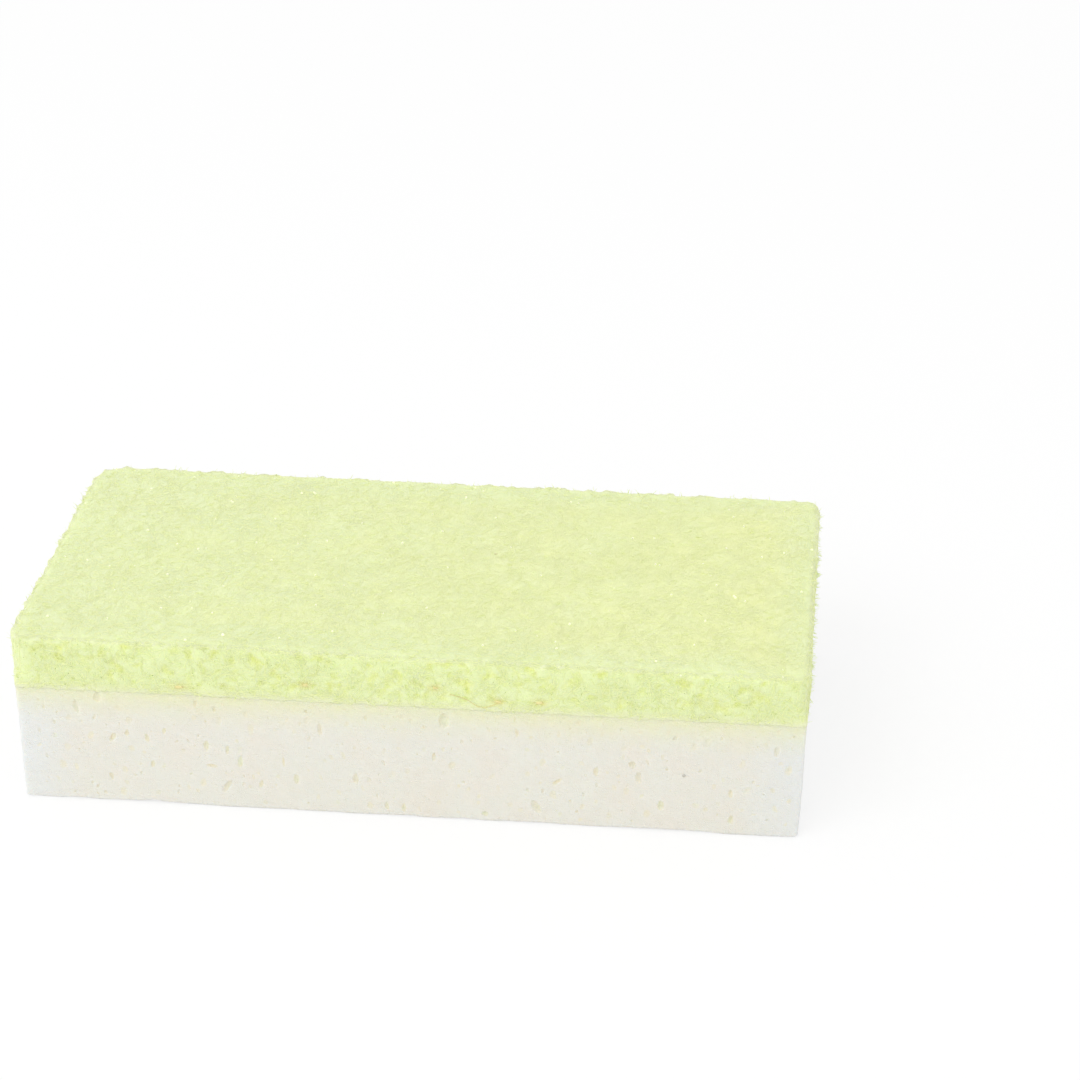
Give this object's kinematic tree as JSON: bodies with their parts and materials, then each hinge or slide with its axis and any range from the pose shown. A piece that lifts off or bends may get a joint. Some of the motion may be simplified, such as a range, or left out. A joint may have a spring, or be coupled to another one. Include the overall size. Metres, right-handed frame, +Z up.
{
  "type": "cleaning sponge",
  "caption": "Rectangular laminated cleaning sponge: soft white open-cell foam block with a coarse yellow-green scouring pad bonded over its whole top face.",
  "frame": {"origin": "centre of the foam's underside, on the surface that the sponge rests on", "axes": "+X along the length, +Y across the width, +Z up through the foam and then the pad"},
  "size_m": [0.15, 0.07, 0.036],
  "materials": {
    "white_foam": "matte",
    "scouring_web": "matte"
  },
  "bodies": {
    "root": {"foam_block": "white_foam", "scouring_pad": "scouring_web"}
  },
  "joints": []
}
